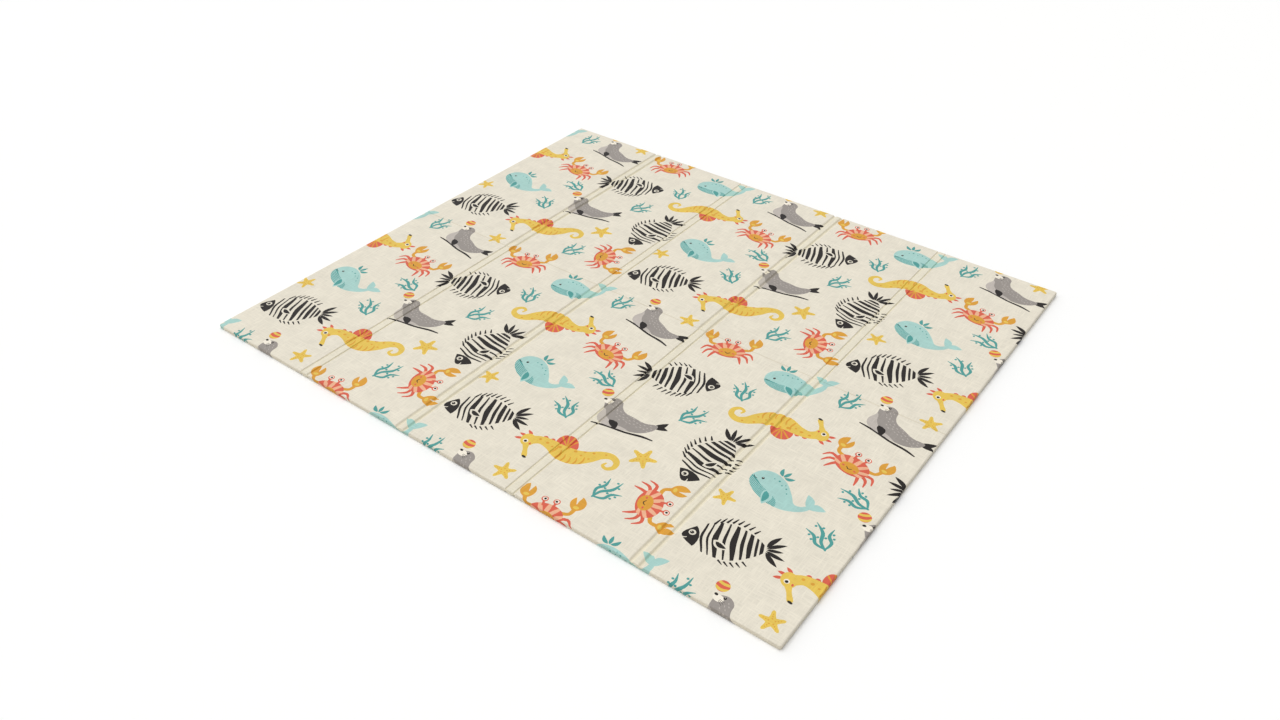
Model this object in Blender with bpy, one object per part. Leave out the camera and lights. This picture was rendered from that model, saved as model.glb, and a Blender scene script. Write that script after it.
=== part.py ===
"""A folding foam play mat, opened out flat.

One sheet of closed-cell foam faced with printed film. One fine crease runs across its middle, where the mat
is bent in two, and heat-pressed fold lines part it into equal panels, at which it then closes in a zigzag.
Metres, +Z up. The origin is at the middle of the underside. X runs across the fold lines, Y along them.
"""

import math

import bmesh
import bpy

# Driving dimensions of the sheet
LENGTH = 2.000
WIDTH = 1.800
THICKNESS = 0.015
PANELS = 5
CORNER_RADIUS = 0.006
RIM_RADIUS = 0.005
ROUNDING_STEPS = 4

# A fold line is two parallel channels with a raised strip between them. The mat is bent in two at its cross
# crease and then closed in a zigzag, so a face has tight channels and broad ones by turns, and the turns
# change over at the crease.
CHANNEL_SPACING = 0.0275
TIGHT_CHANNEL = {"width": 0.0080, "depth": 0.0032}
BROAD_CHANNEL = {"width": 0.0160, "depth": 0.0040}
CHANNEL_OVERLAP = 0.002

# The cross crease is pressed into the top alone
CREASE = {"width": 0.0060, "depth": 0.0012}

# Cutters are cylinders that run past the sheet at both ends
CUTTER_SIDES = 32
OVERRUN = 0.020
ALONG_X = (0.0, math.pi / 2, 0.0)
ALONG_Y = (math.pi / 2, 0.0, 0.0)

# Warm off-white film with a low sheen
FILM_COLOUR = (0.787, 0.730, 0.624, 1.0)
FILM_ROUGHNESS = 0.55


def clear_scene():
    for old in list(bpy.data.objects):
        bpy.data.objects.remove(old, do_unlink=True)


def new_collection(name):
    made = bpy.data.collections.new(name)
    bpy.context.scene.collection.children.link(made)
    return made


def new_object(bm, name, home):
    """Turns a bmesh into a named object in a collection."""
    mesh = bpy.data.meshes.new(name)
    bm.to_mesh(mesh)
    bm.free()
    made = bpy.data.objects.new(name, mesh)
    home.objects.link(made)
    return made


def printed_film():
    material = bpy.data.materials.new("printed_film")
    material.use_nodes = True
    shader = material.node_tree.nodes["Principled BSDF"]
    shader.inputs["Base Color"].default_value = FILM_COLOUR
    shader.inputs["Roughness"].default_value = FILM_ROUGHNESS
    shader.inputs["Metallic"].default_value = 0.0
    return material


def round_over(bm, edges, radius):
    """Rounds some edges and shades the new faces smooth."""
    made = bmesh.ops.bevel(
        bm, geom=edges, offset=radius, offset_type="OFFSET", segments=ROUNDING_STEPS, profile=0.5,
        affect="EDGES", material=-1,
    )
    for face in made["faces"]:
        face.smooth = True


def height_of(edge):
    return abs(edge.verts[0].co.z - edge.verts[1].co.z)


def foam_sheet(home):
    """A flat slab with rounded corners and a rounded rim, where the film is turned over the foam."""
    bm = bmesh.new()
    bmesh.ops.create_cube(bm, size=1.0)
    bmesh.ops.scale(bm, vec=(LENGTH, WIDTH, THICKNESS), verts=bm.verts)
    bmesh.ops.translate(bm, vec=(0.0, 0.0, THICKNESS / 2), verts=bm.verts)
    round_over(bm, [edge for edge in bm.edges if height_of(edge) > THICKNESS / 2], CORNER_RADIUS)
    round_over(bm, [edge for edge in bm.edges if height_of(edge) < THICKNESS / 2], RIM_RADIUS)
    return new_object(bm, "mat", home)


def channel_cutter(home, name, channel, direction, middle, length, face):
    """A cylinder that leaves a round-bottomed channel of the given width and depth in one face.

    The radius is that of the circle whose chord is the width and whose rise is the depth.
    """
    half = channel["width"] / 2
    depth = channel["depth"]
    radius = (half * half + depth * depth) / (2 * depth)
    bm = bmesh.new()
    bmesh.ops.create_cone(
        bm, cap_ends=True, segments=CUTTER_SIDES, radius1=radius, radius2=radius, depth=length,
    )
    for side in bm.faces:
        side.smooth = len(side.verts) == 4
    cutter = new_object(bm, name, home)
    cutter.rotation_euler = direction
    lift = radius - depth
    cutter.location = (*middle, THICKNESS + lift if face == "top" else -lift)
    cutter.hide_render = True
    cutter.display_type = "WIRE"


def fold_cutters(home):
    """Two channels above and two below at each border between panels, in halves that meet at the crease.

    Tight always faces broad. Each half runs a little past the middle, so that no two ends share a plane.
    """
    length = WIDTH / 2 + OVERRUN + CHANNEL_OVERLAP
    for fold in range(1, PANELS):
        middle = LENGTH * (fold / PANELS - 0.5)
        for half, toward in (("near", -1), ("far", 1)):
            for face in ("top", "under"):
                tight = sum((fold % 2 == 1, face == "top", half == "near")) % 2 == 1
                channel = TIGHT_CHANNEL if tight else BROAD_CHANNEL
                for side, step in (("left", -0.5), ("right", 0.5)):
                    name = f"fold_{fold}_{half}_{face}_{side}"
                    place = (middle + step * CHANNEL_SPACING, toward * (length / 2 - CHANNEL_OVERLAP))
                    channel_cutter(home, name, channel, ALONG_Y, place, length, face)


def crease_cutter(home):
    channel_cutter(home, "cross_crease", CREASE, ALONG_X, (0.0, 0.0), LENGTH + 2 * OVERRUN, "top")


def cut(target, cutters):
    """Cuts every object of a collection from the target."""
    boolean = target.modifiers.new(cutters.name, "BOOLEAN")
    boolean.operation = "DIFFERENCE"
    boolean.operand_type = "COLLECTION"
    boolean.collection = cutters
    boolean.solver = "EXACT"


def main():
    clear_scene()
    play_mat = new_collection("folding_play_mat")
    folds = new_collection("fold_cutters")
    crease = new_collection("crease_cutter")
    mat = foam_sheet(play_mat)
    mat.data.materials.append(printed_film())
    fold_cutters(folds)
    crease_cutter(crease)
    cut(mat, folds)
    cut(mat, crease)


main()
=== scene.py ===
"""Looks for the folding foam play mat: one closed sheet of foam in an embossed film, printed on its top.

Units are metres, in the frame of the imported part. The print is drawn in millimetres, on a repeating tile.
"""

import math

import bmesh
import bpy
from mathutils import Matrix, Vector
from mathutils.geometry import delaunay_2d_cdt


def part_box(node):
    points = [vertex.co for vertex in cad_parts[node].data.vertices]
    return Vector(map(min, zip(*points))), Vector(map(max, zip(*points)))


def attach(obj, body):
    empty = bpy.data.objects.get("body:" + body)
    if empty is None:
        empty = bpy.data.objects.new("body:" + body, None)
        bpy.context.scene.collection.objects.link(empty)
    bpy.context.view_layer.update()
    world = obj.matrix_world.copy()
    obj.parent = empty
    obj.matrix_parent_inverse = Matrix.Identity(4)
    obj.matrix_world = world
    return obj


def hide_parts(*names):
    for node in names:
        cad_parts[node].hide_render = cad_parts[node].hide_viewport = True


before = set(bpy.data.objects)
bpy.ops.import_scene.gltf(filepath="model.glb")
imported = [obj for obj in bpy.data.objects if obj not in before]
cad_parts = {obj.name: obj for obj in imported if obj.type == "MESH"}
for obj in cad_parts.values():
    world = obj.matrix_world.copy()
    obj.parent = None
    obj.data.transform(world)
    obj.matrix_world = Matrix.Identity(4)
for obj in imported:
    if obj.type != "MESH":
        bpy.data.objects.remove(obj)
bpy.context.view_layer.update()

low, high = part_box("mat")
LENGTH = high.x - low.x
WIDTH = high.y - low.y
THICKNESS = high.z - low.z

# The camera of the photograph, solved from the mat's edges, fold lines and crease
CAMERA_PLACE = (1.5913, -2.3307, 1.9446)
CAMERA_AZIMUTH = 36.641
CAMERA_ELEVATION = 37.221
CAMERA_ROLL = 0.847
IMAGE_WIDTH = 1280
FOCAL_PIXELS = 1069.3
AXIS_PIXEL = 613.9
SENSOR = 36.0

# Fold lines, as they are pressed into the foam. The mat was bent in two at its crease before it was closed in
# a zigzag, so tight channels and broad ones take turns, and change over at the crease. The two rows of
# offsets are where the mesh is cut across a channel and across the crease.
PANELS = 5
CHANNEL_SPACING = 0.0275
TIGHT = {"width": 0.0080, "depth": 0.0032}
BROAD = {"width": 0.0160, "depth": 0.0040}
CREASE = {"width": 0.0060, "depth": 0.0012}
CHANGE_OVER = 0.012
ACROSS_CHANNEL = (
    0.0, 0.0008, 0.0016, 0.0024, 0.0031, 0.0037, 0.0041, 0.0049, 0.0059, 0.0068, 0.0076, 0.0081,
)
ACROSS_CREASE = (0.0, 0.0008, 0.0014, 0.0022, 0.0028, 0.0031, 0.0045, 0.0080, 0.0122)

# Painted shade: the film keeps this share of its colour in the channels, in the crease and round the rim,
# where shade falls, and the strip between a fold's two channels gets painted warm light. A channel's painted
# shade is full from the given depth down, and the rim's starts at that share of its upper turn.
CHANNEL_PAINTED_SHADE = (0.98, 0.97, 0.92)
# Painted warm light: the strip between a fold's two channels keeps a little less of its blue
STRIP_PAINTED_LIGHT = (1.0, 1.0, 0.965)
CREASE_PAINTED_SHADE = (0.86, 0.84, 0.79)
RIM_PAINTED_SHADE = (0.88, 0.86, 0.82)
PAINTED_SHADE_DEPTH = 0.0015
RIM_PAINTED_SHADE_START = 0.375

# The film turns over a rounded edge above and below a short upright side
CORNER_RADIUS = 0.006
RIM_RADIUS = 0.0045
RIM_STEPS = 6
CORNER_STEPS = 8
INNER_X = LENGTH / 2 - CORNER_RADIUS
INNER_Y = WIDTH / 2 - CORNER_RADIUS
FLAT_REACH = CORNER_RADIUS - RIM_RADIUS
QUARTER_TURN = RIM_RADIUS * math.pi / 2
UPRIGHT = THICKNESS - 2 * RIM_RADIUS
RIM_RUN = 2 * QUARTER_TURN + UPRIGHT

# The smallest sizes that count in the mesh: a seam's gap, a sliver's width and a level face's tilt
SEAM_GAP = 1e-5
SLIVER = 2e-5
LEVEL = 1e-7

# Room on the sheet of UVs: the printed film has most of it and the underside a strip at its top
UV_MARGIN = 1.02
PRINTED_ROOM = {"middle": 0.44, "height": 0.84}
PLAIN_ROOM = {"middle": 0.94, "height": 0.10}


def linear(code):
    """An sRGB hex code as the linear colour that a shader takes."""
    shares = [int(code[k:k + 2], 16) / 255 for k in (1, 3, 5)]
    return tuple(c / 12.92 if c <= 0.04045 else ((c + 0.055) / 1.055) ** 2.4 for c in shares) + (1.0,)


# The foam's form: its channels, its crease and its rim


FOLDS = [LENGTH * (fold / PANELS - 0.5) for fold in range(1, PANELS)]


def channels(face):
    """Where each channel of one face runs, with its kind on the near and the far side of the crease."""
    found = []
    for k, fold in enumerate(FOLDS):
        kinds = (TIGHT, BROAD) if (k % 2 == 0) == (face == "top") else (BROAD, TIGHT)
        found += [(fold + side * CHANNEL_SPACING / 2, kinds) for side in (-1, 1)]
    return found


CHANNELS = {face: channels(face) for face in ("top", "under")}


def trough(offset, size):
    """The depth of a soft trough at some distance from its middle."""
    share = abs(offset) / (size["width"] / 2)
    return size["depth"] * (0.5 + 0.5 * math.cos(math.pi * share)) if share < 1 else 0.0


def sunk(x, y, face):
    """How deep the channels of one face are at a point. The kinds pass into each other at the crease."""
    t = min(max(0.5 + y / (2 * CHANGE_OVER), 0.0), 1.0)
    far = t * t * (3 - 2 * t)
    for at, (near_kind, far_kind) in CHANNELS[face]:
        offset = x - at
        if abs(offset) < BROAD["width"] / 2:
            return (1 - far) * trough(offset, near_kind) + far * trough(offset, far_kind)
    return 0.0


def top_height(x, y):
    return THICKNESS - max(sunk(x, y, "top"), trough(y, CREASE))


def rim_at(run):
    """How far out the film is, and its share of the height, after some run round the rim."""
    if run < QUARTER_TURN:
        turn = run / RIM_RADIUS
        drop = RIM_RADIUS * (1 - math.cos(turn))
    elif run < QUARTER_TURN + UPRIGHT:
        turn = math.pi / 2
        drop = RIM_RADIUS + run - QUARTER_TURN
    else:
        turn = min((run - UPRIGHT) / RIM_RADIUS, math.pi)
        drop = THICKNESS - RIM_RADIUS * (1 + math.cos(turn))
    return RIM_RADIUS * math.sin(turn), 1 - drop / THICKNESS


def rim_runs():
    """How far round the rim each line of the mesh is: even steps on both turns, none on the upright side."""
    turns = [QUARTER_TURN * step / RIM_STEPS for step in range(RIM_STEPS + 1)]
    return turns + [QUARTER_TURN + UPRIGHT + turn for turn in turns[:-1]]


def past_top(x, y):
    """The point of the top's inner field that is nearest, the way out from it, and the run past the top."""
    middle = Vector((min(max(x, -INNER_X), INNER_X), min(max(y, -INNER_Y), INNER_Y)))
    out = Vector((x, y)) - middle
    return middle, out, out.length - FLAT_REACH


def painted_shading_tint(x, y, face):
    """The painted shade of the channels, crease and rim, and the painted warm light of each fold's strip."""
    turned = past_top(x, y)[2] / QUARTER_TURN
    rim = min(max((turned - RIM_PAINTED_SHADE_START) / (1 - RIM_PAINTED_SHADE_START), 0.0), 1.0)
    shares = (
        (CHANNEL_PAINTED_SHADE, min(sunk(x, y, face) / PAINTED_SHADE_DEPTH, 1.0)),
        (STRIP_PAINTED_LIGHT, 1.0 if min(abs(x - fold) for fold in FOLDS) <= CHANNEL_SPACING / 2 else 0.0),
        (CREASE_PAINTED_SHADE, trough(y, CREASE) / CREASE["depth"] if face == "top" else 0.0),
        (RIM_PAINTED_SHADE, rim if face == "top" else 0.0),
    )
    return tuple(math.prod(1 - share * (1 - tint[k]) for tint, share in shares) for k in range(3)) + (1.0,)


def wrapped(x, y):
    """Where a point of the flat film lies once the film is on the foam: on the top, or round the rim."""
    middle, out, run = past_top(x, y)
    if run <= 0:
        return Vector((x, y, top_height(x, y)))
    reach, lift = rim_at(run)
    spot = middle + out.normalized() * (FLAT_REACH + reach)
    bottom = sunk(spot.x, spot.y, "under")
    return Vector((spot.x, spot.y, bottom + (top_height(spot.x, spot.y) - bottom) * lift))


# The print's drawing tools. An outline is a list of points that runs anticlockwise, in millimetres.


def ellipse(x, y, wide, high, turn=0.0, steps=16):
    cos, sin = math.cos(math.radians(turn)), math.sin(math.radians(turn))
    ring = []
    for k in range(steps):
        u = wide / 2 * math.cos(2 * math.pi * k / steps)
        v = high / 2 * math.sin(2 * math.pi * k / steps)
        ring.append((x + u * cos - v * sin, y + u * sin + v * cos))
    return ring


def between(p, q, r, s, t):
    """A value part of the way from q to r, smooth with p before and s after them."""
    square = 2 * p - 5 * q + 4 * r - s
    cube = 3 * q - p - 3 * r + s
    return 0.5 * (2 * q + (r - p) * t + square * t * t + cube * t ** 3)


def curve(points, closed=False, steps=4):
    """A smooth line through some points, as a Catmull-Rom spline."""
    count = len(points)
    line = []
    for k in range(count if closed else count - 1):
        if closed:
            a, b, c, d = (points[(k + j) % count] for j in (-1, 0, 1, 2))
        else:
            a, b, c, d = (points[min(max(k + j, 0), count - 1)] for j in (-1, 0, 1, 2))
        for step in range(steps):
            t = step / steps
            line.append(tuple(between(*four, t) for four in zip(a, b, c, d)))
    return line if closed else line + [points[-1]]


def blob(*points, steps=4):
    return anticlockwise(curve(points, True, steps))


def anticlockwise(ring):
    area = sum(a[0] * b[1] - b[0] * a[1] for a, b in zip(ring, ring[1:] + ring[:1]))
    return ring if area > 0 else ring[::-1]


# A stroke's round end, as shares of its half width: how far to the side each point is, and how far on
ROUND_END = ((0.92, 0.35), (0.55, 0.8))
THINNEST = 0.4


def band(points, widths, steps=4):
    """A stroke of changing width along a smooth line, with round ends where it is wide there."""
    spine = curve([p + (w,) for p, w in zip(points, widths)], False, steps)
    left, right = [], []
    for k, (x, y, w) in enumerate(spine):
        ahead, behind = spine[min(k + 1, len(spine) - 1)], spine[max(k - 1, 0)]
        dx, dy = ahead[0] - behind[0], ahead[1] - behind[1]
        size = math.hypot(dx, dy) or 1.0
        dx, dy = dx / size, dy / size
        half = max(w, THINNEST) / 2
        if k in (0, len(spine) - 1):
            push = -half if k == 0 else half
            for spread, reach in ROUND_END:
                end_x = x + dx * push * reach
                end_y = y + dy * push * reach
                left.append((end_x - dy * half * spread, end_y + dx * half * spread))
                right.append((end_x + dy * half * spread, end_y - dx * half * spread))
            if k == 0:
                left[-2:] = left[:-3:-1]
                right[-2:] = right[:-3:-1]
        else:
            left.append((x - dy * half, y + dx * half))
            right.append((x + dy * half, y - dx * half))
    return anticlockwise(right + left[::-1])


def petal(x0, y0, x1, y1, wide, bow=0.0, steps=6):
    """A leaf shape from root to tip, widest a little before its middle, and bowed to its left if asked."""
    dx, dy = x1 - x0, y1 - y0
    size = math.hypot(dx, dy)
    nx, ny = -dy / size, dx / size
    sides = []
    for side in (-1, 1):
        for step in range(steps):
            t = step / steps
            half = side * wide / 2 * math.sin(math.pi * t ** 0.85) ** 0.8
            lean = bow * math.sin(math.pi * t)
            sides.append((t, half + lean))
    right = [(x0 + dx * t + nx * off, y0 + dy * t + ny * off) for t, off in sides[:steps]]
    left = [(x0 + dx * t + nx * off, y0 + dy * t + ny * off) for t, off in sides[steps + 1:]]
    return anticlockwise(right + [(x1, y1)] + left[::-1])


def mirrored(ring):
    return [(-x, y) for x, y in reversed(ring)]


class Motif:
    """Layers of ink, each over the last. A layer may be kept inside an earlier one."""

    def __init__(self):
        self.layers = []

    def add(self, ink, ring, inside=None):
        self.layers.append({"ink": ink, "ring": ring, "inside": inside})
        return len(self.layers) - 1

    def pair(self, ink, ring, inside=None):
        self.add(ink, ring, inside)
        self.add(ink, mirrored(ring), inside)


# The motifs


def whale():
    made = Motif()
    made.add("aqua", petal(98, 46, 58, 84, 27, -7))
    made.add("aqua", petal(98, 46, 138, 82, 27, 7))
    body = made.add("aqua", blob(
        (-98, 4), (-90, 38), (-58, 60), (-12, 60), (34, 40), (66, 22), (86, 34), (94, 56),
        (106, 54), (104, 28), (88, 0), (58, -28), (12, -45), (-44, -44), (-84, -26),
    ))
    throat = made.add("teal", blob(
        (-104, -8), (-74, -6), (-40, -12), (-6, -10), (26, -14), (44, -36), (10, -60), (-50, -60), (-90, -40),
    ), body)
    for k in range(7):
        y = -14 - 5.2 * k
        groove = band([(-100 + 2 * k, y + 4), (-60, y), (-20, y - 1), (50, y + 3)], [2.4, 2.4, 2.4, 1.8], 3)
        made.add("aqua", groove, throat)
    made.add("aqua", petal(-22, -6, 16, -58, 34, 6))
    made.add("teal", petal(-18, -12, 10, -52, 20, 4))
    for x, y, size in ((-30, 46, 7), (-12, 40, 5), (6, 42, 6), (-46, 40, 4.5), (22, 30, 5), (-6, 50, 3.5)):
        made.add("teal", ellipse(x, y, size, size, steps=9))
    made.add("charcoal", ellipse(-66, 12, 9, 10, steps=12))
    made.add("cream", ellipse(-67.5, 14, 2.6, 2.6, steps=6))
    made.add("charcoal", band([(-92, -2), (-84, -5), (-76, -3)], [2, 2.2, 1.6], 3))
    made.add("teal", petal(-42, 66, -66, 92, 13, 4))
    made.add("teal", petal(-38, 66, -38, 100, 12))
    made.add("teal", petal(-34, 66, -10, 90, 13, -4))
    return made


def seahorse():
    made = Motif()
    for x, y, turn in ((-2, 150, 104), (10, 144, 80), (19, 132, 50)):
        a = math.radians(turn)
        made.add("coral", petal(x, y - 6, x + 24 * math.cos(a), y - 6 + 24 * math.sin(a), 10))
    for x, y in ((26, 88), (25, 66), (17, -64), (30, -84)):
        made.add("coral", ellipse(x, y, 15, 15, steps=12))
    fan = made.add("coral", blob((10, 46), (34, 56), (58, 44), (62, 18), (46, -2), (16, -8)))
    for tip in ((52, 50), (66, 34), (64, 14), (50, -2)):
        made.add("ochre", band([(18, 20), tip], [3.4, 5], 2), fan)
    body = made.add("yellow", band(
        [
            (0, 122), (12, 94), (6, 60), (-8, 24), (-10, -14), (6, -50), (27, -78), (34, -106), (20, -127),
            (-2, -128), (-14, -112), (-6, -98), (5, -103),
        ],
        [34, 31, 40, 56, 58, 44, 31, 23, 18, 15, 12, 9, 6],
    ))
    made.add("yellow", band([(-16, 126), (-38, 117), (-60, 108)], [22, 13, 17], 3))
    made.add("yellow", ellipse(-2, 128, 50, 42, 12, 20))
    for k in range(6):
        y = 44 - 17 * k
        x = -8 + 0.012 * (y + 6) ** 2
        made.add("ochre", band([(x - 40, y + 4), (x - 22, y - 3), (x - 6, y - 1)], [5, 5, 2.5], 3), body)
    for x, y, size in (
        (10, 74, 9), (14, 98, 8), (9, 36, 10), (14, 14, 8), (12, -10, 9), (22, -34, 8), (3, -30, 6),
        (26, -58, 7), (34, -90, 6), (2, 56, 6), (0, -54, 6),
    ):
        made.add("ochre", ellipse(x, y, size, size * 1.15, 20, 9), body)
    made.add("charcoal", ellipse(-66, 106, 8, 15, -20, 10))
    made.add("cream", ellipse(-8, 132, 15, 15, steps=12))
    made.add("charcoal", ellipse(-9, 132, 9, 9.5, steps=10))
    made.add("coral", ellipse(-14, 116, 9, 6, steps=8))
    return made


def striped_fish():
    made = Motif()
    body = made.add("ground", blob(
        (-116, -2), (-90, 28), (-46, 54), (4, 61), (50, 43), (88, 13), (88, -13), (50, -43), (4, -61),
        (-46, -54), (-90, -32),
    ))
    made.add("charcoal", ellipse(-108, -2, 72, 96, steps=20), body)
    for x, wide in ((-62, 6), (-47, 5), (-29, 13), (-7, 7), (15, 14), (36, 8), (54, 11), (70, 6), (83, 8)):
        bow = 12 - 0.06 * (x + 116)
        made.add("charcoal", band(
            [(x + bow, -74), (x + bow * 0.2, -36), (x - bow * 0.6, 0), (x + bow * 0.2, 36), (x + bow, 74)],
            [wide * 0.4, wide * 0.9, wide * 1.2, wide * 0.9, wide * 0.4], 3,
        ), body)
    for tip_x, tip_y, wide in ((126, 50, 14), (142, 26, 12), (136, 0, 10), (142, -26, 12), (126, -50, 14)):
        made.add("charcoal", petal(93, tip_y * 0.16, tip_x, tip_y, wide, tip_y * 0.05))
    for k in range(8):
        x = -42 + 14.5 * k
        top = 64 - 0.0068 * (x - 4) ** 2
        made.add("charcoal", band([(x, top + 3), (x + 11, top + 21 - k)], [7, 3], 2))
        if 1 < k < 7:
            made.add("charcoal", band([(x, -top - 3), (x + 10, -top - 14)], [6, 2.5], 2))
    made.add("ground", petal(-36, -2, 4, -26, 24, -4))
    made.add("charcoal", petal(-30, -6, -1, -24, 14, -3))
    made.add("ground", ellipse(-91, 9, 19, 19, steps=14))
    made.add("charcoal", ellipse(-92, 9, 11, 11, steps=12))
    made.add("ground", ellipse(-94, 11.5, 3.2, 3.2, steps=6))
    made.add("ground", band([(-118, -9), (-110, -12), (-102, -10)], [2.6, 3, 2], 3))
    return made


def seal():
    made = Motif()
    made.add("charcoal", band([(-92, -60), (-40, -57), (20, -61), (76, -57), (112, -60)], [5, 9, 8, 9, 5], 3))
    made.add("charcoal", petal(92, 2, 128, 34, 20, -5))
    made.add("charcoal", petal(96, -4, 138, 2, 18, 4))
    body = made.add("grey", blob(
        (-94, 44), (-88, 66), (-66, 78), (-42, 68), (-32, 44), (-14, 24), (20, 14), (60, 4), (96, 10),
        (104, 0), (92, -24), (62, -46), (14, -55), (-44, -55), (-76, -46), (-90, -20), (-86, 14),
    ))
    made.add("fleck", blob(
        (-98, 20), (-78, 14), (-62, -14), (-30, -38), (10, -44), (40, -62), (-40, -70), (-100, -50),
    ), body)
    for k in range(34):
        x = -44 + 12.5 * (k % 11) + 5 * (k // 11)
        y = 22 - 14 * (k // 11) - 0.16 * (x + 40) + 4 * math.sin(2.4 * k)
        made.add("fleck", band([(x, y), (x + 5, y - 1.5)], [2.6, 2.0], 1), body)
    for x, y in ((-56, 62), (-48, 54), (-58, 48), (-48, 40), (-62, 34), (-54, 24), (-44, 28)):
        made.add("fleck", band([(x, y), (x + 3, y - 3)], [2.6, 2.0], 1), body)
    made.add("charcoal", petal(-46, -26, -12, -62, 26, 6))
    made.add("cream", ellipse(-86, 54, 32, 24, 10, 16))
    made.add("charcoal", ellipse(-99, 60, 12, 9, 0, 10))
    made.add("charcoal", ellipse(-73, 66, 9, 10, 0, 12))
    made.add("cream", ellipse(-74.5, 68, 2.6, 2.6, steps=6))
    for lean in (-7, 0, 7):
        made.add("charcoal", band([(-80, 51 + lean * 0.4), (-64, 48 + lean)], [1.4, 1.0], 1))
    ball = made.add("coral", ellipse(-106, 92, 40, 40, steps=20))
    made.add("yellow", band([(-132, 100), (-112, 98), (-92, 106), (-84, 116)], [8, 9, 9, 8], 3), ball)
    made.add("yellow", band([(-130, 80), (-108, 78), (-92, 84), (-80, 96)], [8, 9, 9, 8], 3), ball)
    return made


def crab():
    made = Motif()
    for knee, foot in (((-72, -4), (-88, -28)), ((-64, -24), (-76, -50)), ((-46, -40), (-54, -64))):
        leg = band([(-32, -14), knee, foot], [11, 10, 4], 4)
        made.pair("coral", leg)
    made.pair("ochre", band([(-40, 12), (-66, 18), (-74, 40)], [13, 12, 13], 4))
    claw = blob((-74, 34), (-94, 48), (-98, 70), (-86, 88), (-74, 92), (-60, 84), (-52, 66), (-58, 46))
    made.pair("ochre", claw)
    made.pair("ground", blob((-80, 98), (-74, 74), (-72, 60), (-67, 74), (-62, 96)))
    made.pair("yellow", ellipse(-75, 48, 18, 12, 0, 10))
    shell = made.add("coral", ellipse(0, -4, 112, 78, steps=28))
    for turn, wide in ((168, 11), (140, 13), (112, 14), (84, 14), (56, 13), (28, 12), (4, 11)):
        cos, sin = math.cos(math.radians(turn)), math.sin(math.radians(turn))
        made.add("peach", petal(12 * cos, -26 + 10 * sin, 84 * cos, -30 + 84 * sin, wide), shell)
    face = made.add("ochre", ellipse(0, -16, 62, 44, steps=20), shell)
    made.pair("coral", band([(-15, 26), (-18, 44)], [8, 7], 2))
    made.pair("coral", ellipse(-18, 49, 21, 21, 0, 12))
    made.pair("cream", ellipse(-18, 50, 14, 14, 0, 10))
    made.pair("charcoal", ellipse(-17, 50, 8, 8.5, 0, 9))
    made.pair("coral", ellipse(-20, -18, 10, 6, 0, 8), face)
    made.add("charcoal", band([(-9, -16), (0, -22), (9, -16)], [2.2, 3, 2.2], 4))
    return made


def frond():
    made = Motif()
    made.add("teal", band([(0, -48), (-5, -20), (5, 10), (-3, 46)], [6, 9, 10, 2]))
    made.add("teal", band([(-1, -44), (-20, -24), (-19, 2), (-34, 26)], [5, 9, 9, 2]))
    made.add("teal", band([(2, -44), (20, -26), (19, -2), (36, 20)], [5, 9, 9, 2]))
    for x, y in ((-28, -10), (-30, 6), (29, -12), (31, 2), (-8, 34), (10, 26), (-10, -4), (9, -8)):
        made.add("teal", ellipse(x, y, 8, 7, 20, 9))
    return made


def starfish():
    made = Motif()
    ring = []
    for k in range(20):
        a = 2 * math.pi * k / 20 + 0.3
        reach = {0: 40, 1: 34, 2: 17, 3: 34}[k % 4]
        lean = {0: 0.0, 1: -0.14, 2: 0.0, 3: 0.14}[k % 4]
        ring.append((reach * math.cos(a + lean), reach * math.sin(a + lean)))
    made.add("yellow", anticlockwise(curve(ring, True, 2)))
    for k in range(5):
        a = 2 * math.pi * k / 5 + 0.3
        for reach, size in ((10, 5), (18, 4.5), (26, 4)):
            made.add("ochre", ellipse(reach * math.cos(a), reach * math.sin(a), size, size, 0, 7))
    return made


# One repeat of the print, in millimetres, where the first one starts, how far a motif reaches from its own
# middle, and where each motif lies on the repeat
REPEAT_X = 810.0
REPEAT_Y = 868.0
FIRST_X = -1180.0
FIRST_Y = -1010.0
MOTIF_REACH = 175.0
LAYOUT = (
    {"motif": whale, "x": 118, "y": 70, "turn": 12, "size": 0.88},
    {"motif": frond, "x": 285, "y": 112, "turn": -16, "size": 1.0},
    {"motif": seal, "x": 440, "y": 78, "turn": -12, "size": 0.90},
    {"motif": crab, "x": 688, "y": 106, "turn": 16, "size": 0.92},
    {"motif": crab, "x": 74, "y": 294, "turn": -72, "size": 0.92},
    {"motif": striped_fish, "x": 299, "y": 304, "turn": 22, "size": 1.0},
    {"motif": seahorse, "x": 602, "y": 318, "turn": 102, "size": 1.0},
    {"motif": frond, "x": 768, "y": 268, "turn": -24, "size": 1.0},
    {"motif": striped_fish, "x": 100, "y": 530, "turn": 82, "size": 1.0},
    {"motif": whale, "x": 300, "y": 520, "turn": -22, "size": 0.88},
    {"motif": frond, "x": 470, "y": 462, "turn": 38, "size": 1.0},
    {"motif": seal, "x": 636, "y": 524, "turn": 12, "size": 0.90},
    {"motif": starfish, "x": 768, "y": 420, "turn": 0, "size": 1.0},
    {"motif": seahorse, "x": 165, "y": 768, "turn": -78, "size": 1.0},
    {"motif": crab, "x": 413, "y": 740, "turn": -12, "size": 0.92},
    {"motif": striped_fish, "x": 657, "y": 765, "turn": -160, "size": 1.0},
    {"motif": frond, "x": 780, "y": 650, "turn": -30, "size": 1.0},
    {"motif": frond, "x": 474, "y": 630, "turn": 72, "size": 1.0},
    {"motif": frond, "x": 20, "y": 830, "turn": 24, "size": 0.95},
    {"motif": starfish, "x": 507, "y": 158, "turn": 20, "size": 0.85},
    {"motif": starfish, "x": 208, "y": 432, "turn": -12, "size": 0.80},
)


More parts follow.
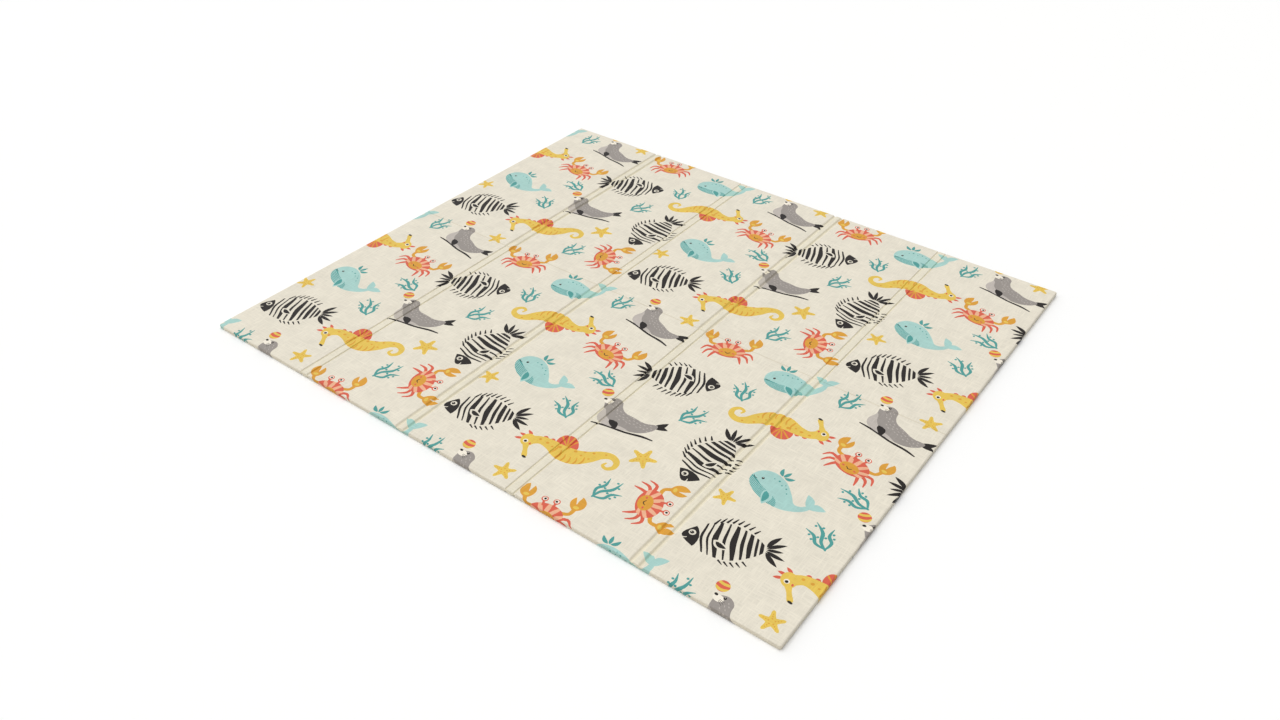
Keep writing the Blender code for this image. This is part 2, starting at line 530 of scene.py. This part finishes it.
def placed_layers():
    """Every layer of every motif that reaches the film, in metres on the flat film."""
    half_x = (LENGTH / 2 + RIM_RUN) * 1000
    half_y = (WIDTH / 2 + RIM_RUN) * 1000
    columns = math.ceil((half_x - FIRST_X) / REPEAT_X)
    rows = math.ceil((half_y - FIRST_Y) / REPEAT_Y)
    found = []
    for row in LAYOUT:
        motif = row["motif"]()
        cos = row["size"] * math.cos(math.radians(row["turn"]))
        sin = row["size"] * math.sin(math.radians(row["turn"]))
        for across in range(columns):
            for up in range(rows):
                x0 = FIRST_X + row["x"] + across * REPEAT_X
                y0 = FIRST_Y + row["y"] + up * REPEAT_Y
                if abs(x0) > half_x + MOTIF_REACH or abs(y0) > half_y + MOTIF_REACH:
                    continue
                first = len(found)
                for layer in motif.layers:
                    ring = [
                        ((x0 + x * cos - y * sin) / 1000, (y0 + x * sin + y * cos) / 1000)
                        for x, y in layer["ring"]
                    ]
                    inside = None if layer["inside"] is None else first + layer["inside"]
                    found.append({"ink": layer["ink"], "ring": ring, "inside": inside})
    return found


# The film, cut along every edge of its print


def film_outline(radius, stops=()):
    """A round-cornered outline about the inner corners, with more points on its long sides at given x."""
    ring = []
    for k, (sx, sy) in enumerate(((1, -1), (1, 1), (-1, 1), (-1, -1))):
        for step in range(CORNER_STEPS + 1):
            angle = math.pi / 2 * (k - 1 + step / CORNER_STEPS)
            ring.append((sx * INNER_X + radius * math.cos(angle), sy * INNER_Y + radius * math.sin(angle)))
        if k == 1:
            ring += [(x, INNER_Y + radius) for x in sorted(stops, reverse=True)]
        if k == 3:
            ring += [(x, -INNER_Y - radius) for x in sorted(stops)]
    return ring


def both_ways(offsets):
    return [-d for d in offsets if d] + list(offsets)


def channel_lines(face):
    return [x + offset for x, _ in CHANNELS[face] for offset in both_ways(ACROSS_CHANNEL)]


def triangulated(outlines, lines):
    """Blender's own triangulation of closed outlines and straight lines, within the first outline."""
    points, faces, edges = [], [], []
    for ring in outlines:
        faces.append(list(range(len(points), len(points) + len(ring))))
        points += [Vector(p) for p in ring]
    for a, b in lines:
        edges.append((len(points), len(points) + 1))
        points += [Vector(a), Vector(b)]
    corners, _, made, _, _, holders = delaunay_2d_cdt(points, edges, faces, 1, 1e-7, True)
    return corners, [(face, set(held)) for face, held in zip(made, holders) if 0 in held]


def shows(k, layers, held):
    """Whether every layer that this one is kept inside covers the face too."""
    while layers[k]["inside"] is not None:
        k = layers[k]["inside"]
        if k not in held:
            return False
    return True


def ink_of(held, layers):
    """The ink of the last layer that covers a face and may show there."""
    for k in sorted(held, reverse=True):
        if shows(k, layers, held):
            return layers[k]["ink"]
    return "ground"


def on_sheet(point, wide, high, room):
    """Where a point of a flat piece of film lies on the sheet of UVs."""
    return 0.5 + point.x / (UV_MARGIN * wide), room["middle"] + room["height"] * point.y / high


def printed_side(bm, film, painted_shading, layers):
    """The film with its print, over the top of the foam and round its rim."""
    half_x = LENGTH / 2 + RIM_RUN
    half_y = WIDTH / 2 + RIM_RUN
    rings = [film_outline(FLAT_REACH + RIM_RUN, channel_lines("top"))]
    rings += [film_outline(FLAT_REACH + run) for run in rim_runs()]
    lines = [((x, -half_y), (x, half_y)) for x in channel_lines("top")]
    lines += [((-half_x, y), (half_x, y)) for y in both_ways(ACROSS_CREASE)]
    corners, kept = triangulated(rings + [layer["ring"] for layer in layers], lines)
    verts = [bm.verts.new(wrapped(p.x, p.y)) for p in corners]
    # Painted shade and painted warm light for each corner of the printed film
    for v, p in zip(verts, corners):
        v[painted_shading] = painted_shading_tint(p.x, p.y, "top")
    for ring, held in kept:
        face = bm.faces.new([verts[k] for k in ring])
        face.material_index = INKS.index(ink_of({k - len(rings) for k in held if k >= len(rings)}, layers))
        for loop, k in zip(face.loops, ring):
            loop[film].uv = on_sheet(corners[k], 2 * half_x, 2 * half_y, PRINTED_ROOM)


def plain_side(bm, film, painted_shading, edge):
    """The underside's film, inside the edge that the printed film ends at."""
    ring = sorted(edge, key=lambda v: math.atan2(v.co.y, v.co.x))
    lines = [((x, -WIDTH / 2), (x, WIDTH / 2)) for x in channel_lines("under")]
    lines += [((-LENGTH / 2, y), (LENGTH / 2, y)) for y in both_ways(ACROSS_CREASE)]
    corners, kept = triangulated([[v.co.xy for v in ring]], lines)
    verts = [bm.verts.new((p.x, p.y, sunk(p.x, p.y, "under"))) for p in corners]
    # Painted shade in the underside's channels, and painted warm light on its fold strips
    for v in verts:
        v[painted_shading] = painted_shading_tint(v.co.x, v.co.y, "under")
    for ring, _ in kept:
        face = bm.faces.new([verts[k] for k in reversed(ring)])
        face.material_index = INKS.index("ground")
        for loop, k in zip(face.loops, reversed(ring)):
            loop[film].uv = on_sheet(corners[k], LENGTH, WIDTH, PLAIN_ROOM)


def is_level(face):
    heights = [v.co.z for v in face.verts]
    return max(heights) - min(heights) < LEVEL


def mat_mesh():
    bm = bmesh.new()
    film = bm.loops.layers.uv.new("OFBake")
    # Each corner keeps the painted shade of channels, crease and rim, and the fold strips' painted warm light
    painted_shading = bm.verts.layers.float_color.new("painted_shading_film")
    printed_side(bm, film, painted_shading, placed_layers())
    bmesh.ops.delete(bm, geom=[v for v in bm.verts if not v.link_faces], context="VERTS")
    plain_side(bm, film, painted_shading, [v for v in bm.verts if v.is_boundary])
    bmesh.ops.delete(bm, geom=[v for v in bm.verts if not v.link_faces], context="VERTS")
    bmesh.ops.remove_doubles(bm, verts=[v for v in bm.verts if v.is_boundary], dist=SEAM_GAP)
    bmesh.ops.dissolve_degenerate(bm, dist=SLIVER, edges=bm.edges)
    for face in bm.faces:
        face.smooth = not is_level(face)
    mesh = bpy.data.meshes.new("printed_mat")
    bm.to_mesh(mesh)
    bm.free()
    made = bpy.data.objects.new("printed_mat", mesh)
    bpy.context.scene.collection.objects.link(made)
    return made


# Finishes


def add(tree, kind, links=(), **settings):
    """Adds a node with its settings. A link is an input's name with a value or another node's output."""
    node = tree.nodes.new(kind)
    for name, value in settings.items():
        setattr(node, name, value)
    for name, value in links:
        if isinstance(value, bpy.types.NodeSocket):
            tree.links.new(value, node.inputs[name])
        else:
            node.inputs[name].default_value = value
    return node


# The real linen emboss has about 1 mm between threads. It is drawn nearly four times as coarse, so that it
# shows, and its threads run on for some centimetres. The ink's mottle is in large clouds, and the pores of
# the film are in small ones.
THREAD = 0.0036
THREAD_RUN = 0.040
MOTTLE = 0.045
PORE = 0.0016

# How much the mottle and the pores add to the threads. Threads and mottle together keep to the grain's span,
# which is spread over the ink's brightness and the film's roughness. Threads and pores make the relief.
MOTTLE_SHARE = 0.4
PORE_SHARE = 0.25
GRAIN = {"low": 0.55, "high": 1.0}
BRIGHTNESS = {"low": 0.90, "high": 1.09}
ROUGHNESS = {"low": 0.46, "high": 0.58}
RELIEF = {"height": 0.0006, "strength": 0.75}


def embossed_film(name, code):
    """Printed PE film, embossed with a linen grain and laminated on cross-linked PE foam.

    The eye gets a soft satin sheen, threads that cross at right angles, and ink that is a little uneven.
    """
    material = bpy.data.materials.new(name)
    material.use_nodes = True
    tree = material.node_tree
    shader = tree.nodes["Principled BSDF"]
    place = add(tree, "ShaderNodeTexCoord").outputs["Object"]
    threads = []
    for fine, long in (((1, 0), (0, 1)), ((0, 1), (1, 0))):
        scale = tuple(f / THREAD + g / THREAD_RUN for f, g in zip(fine, long)) + (1 / THREAD,)
        run = add(tree, "ShaderNodeMapping", [("Vector", place), ("Scale", scale)])
        grain = add(tree, "ShaderNodeTexNoise", [
            ("Vector", run.outputs["Vector"]), ("Scale", 1.0), ("Detail", 2.0), ("Roughness", 0.5),
        ])
        threads.append(grain.outputs["Fac"])
    linen = add(tree, "ShaderNodeMath", [(0, threads[0]), (1, threads[1])], operation="MAXIMUM").outputs[0]
    pores = add(tree, "ShaderNodeTexNoise", [("Vector", place), ("Scale", 1 / PORE), ("Detail", 1.0)])
    mottle = add(tree, "ShaderNodeTexNoise", [("Vector", place), ("Scale", 1 / MOTTLE), ("Detail", 3.0)])
    clouded = [(0, mottle.outputs["Fac"]), (1, MOTTLE_SHARE), (2, linen)]
    uneven = add(tree, "ShaderNodeMath", clouded, operation="MULTIPLY_ADD").outputs[0]
    grain_span = [("Value", uneven), ("From Min", GRAIN["low"]), ("From Max", GRAIN["high"])]
    shade = add(tree, "ShaderNodeMapRange", [
        *grain_span, ("To Min", BRIGHTNESS["low"]), ("To Max", BRIGHTNESS["high"]),
    ]).outputs["Result"]
    # The painted shade of channels, crease and rim, and the strips' painted warm light, scale the ink
    painted_shading = add(tree, "ShaderNodeAttribute", attribute_name="painted_shading_film").outputs["Color"]
    inked = [(0, painted_shading), (1, linear(code)[:3])]
    ink = add(tree, "ShaderNodeVectorMath", inked, operation="MULTIPLY").outputs["Vector"]
    tint = add(tree, "ShaderNodeVectorMath", [(0, ink), ("Scale", shade)], operation="SCALE")
    tree.links.new(tint.outputs["Vector"], shader.inputs["Base Color"])
    sheen = add(tree, "ShaderNodeMapRange", [
        *grain_span, ("To Min", ROUGHNESS["low"]), ("To Max", ROUGHNESS["high"]),
    ]).outputs["Result"]
    tree.links.new(sheen, shader.inputs["Roughness"])
    pitted = [(0, pores.outputs["Fac"]), (1, PORE_SHARE), (2, linen)]
    relief = add(tree, "ShaderNodeMath", pitted, operation="MULTIPLY_ADD").outputs[0]
    bump = add(tree, "ShaderNodeBump", [
        ("Height", relief), ("Strength", RELIEF["strength"]), ("Distance", RELIEF["height"]),
    ])
    tree.links.new(bump.outputs["Normal"], shader.inputs["Normal"])
    shader.inputs["IOR"].default_value = 1.50
    shader.inputs["Specular IOR Level"].default_value = 0.25
    return material


# The film itself is warm off-white, and each ink is matched to the print
INK_CODES = {
    "ground": "#E3DCCB",
    "aqua": "#A5CDC6",
    "teal": "#4B9994",
    "yellow": "#E1BF52",
    "ochre": "#D89B33",
    "coral": "#D65F48",
    "peach": "#EAAF8C",
    "grey": "#97908A",
    "fleck": "#BDB5AD",
    "charcoal": "#1C1613",
    "cream": "#F1E9D9",
}
INKS = list(INK_CODES)

mat = mat_mesh()
for ink, code in INK_CODES.items():
    mat.data.materials.append(embossed_film(f"embossed_pe_film_{ink}", code))
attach(mat, "root")
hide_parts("mat")


# The stage


def plain_paint(name, code, roughness):
    """Matt wall paint, so the floor is pale and plain."""
    material = bpy.data.materials.new(name)
    material.use_nodes = True
    shader = material.node_tree.nodes["Principled BSDF"]
    shader.inputs["Base Color"].default_value = linear(code)
    shader.inputs["Roughness"].default_value = roughness
    return material


def floor():
    bm = bmesh.new()
    bmesh.ops.create_grid(bm, x_segments=1, y_segments=1, size=40.0)
    mesh = bpy.data.meshes.new("floor")
    bm.to_mesh(mesh)
    bm.free()
    made = bpy.data.objects.new("floor", mesh)
    bpy.context.scene.collection.objects.link(made)
    made.data.materials.append(plain_paint("matt_paint", "#FAFAF9", 0.9))


def camera():
    data = bpy.data.cameras.new("camera")
    data.sensor_width = SENSOR
    data.lens = SENSOR * FOCAL_PIXELS / IMAGE_WIDTH
    data.shift_x = (IMAGE_WIDTH / 2 - AXIS_PIXEL) / IMAGE_WIDTH
    made = bpy.data.objects.new("camera", data)
    bpy.context.scene.collection.objects.link(made)
    turn = Matrix.Rotation(math.radians(CAMERA_AZIMUTH), 4, "Z")
    turn @= Matrix.Rotation(math.radians(90 - CAMERA_ELEVATION), 4, "X")
    turn @= Matrix.Rotation(math.radians(CAMERA_ROLL), 4, "Z")
    made.matrix_world = Matrix.Translation(CAMERA_PLACE) @ turn
    bpy.context.scene.camera = made


# A bright studio: white all round, fading to the right, and a wide soft light overhead, a little to the left
SKY_LEFT = 1.07
SKY_RIGHT = 0.17
KEY_LIGHT = {"from": (-0.20, -0.12, 0.97), "spread": 70.0, "strength": 1.40}


def lights():
    world = bpy.data.worlds.new("studio")
    bpy.context.scene.world = world
    world.use_nodes = True
    tree = world.node_tree
    toward = add(tree, "ShaderNodeTexCoord").outputs["Generated"]
    side = add(tree, "ShaderNodeSeparateXYZ", [("Vector", toward)]).outputs["X"]
    fade = add(tree, "ShaderNodeMapRange", [
        ("Value", side), ("From Min", -1.0), ("From Max", 1.0), ("To Min", SKY_LEFT), ("To Max", SKY_RIGHT),
    ]).outputs["Result"]
    background = tree.nodes["Background"]
    background.inputs["Color"].default_value = (1.0, 1.0, 1.0, 1.0)
    tree.links.new(fade, background.inputs["Strength"])
    data = bpy.data.lights.new("key_light", "SUN")
    data.angle = math.radians(KEY_LIGHT["spread"])
    data.energy = KEY_LIGHT["strength"]
    made = bpy.data.objects.new("key_light", data)
    bpy.context.scene.collection.objects.link(made)
    made.rotation_euler = (-Vector(KEY_LIGHT["from"])).to_track_quat("-Z", "Y").to_euler()


floor()
camera()
lights()
bpy.context.scene.view_settings.view_transform = "Standard"
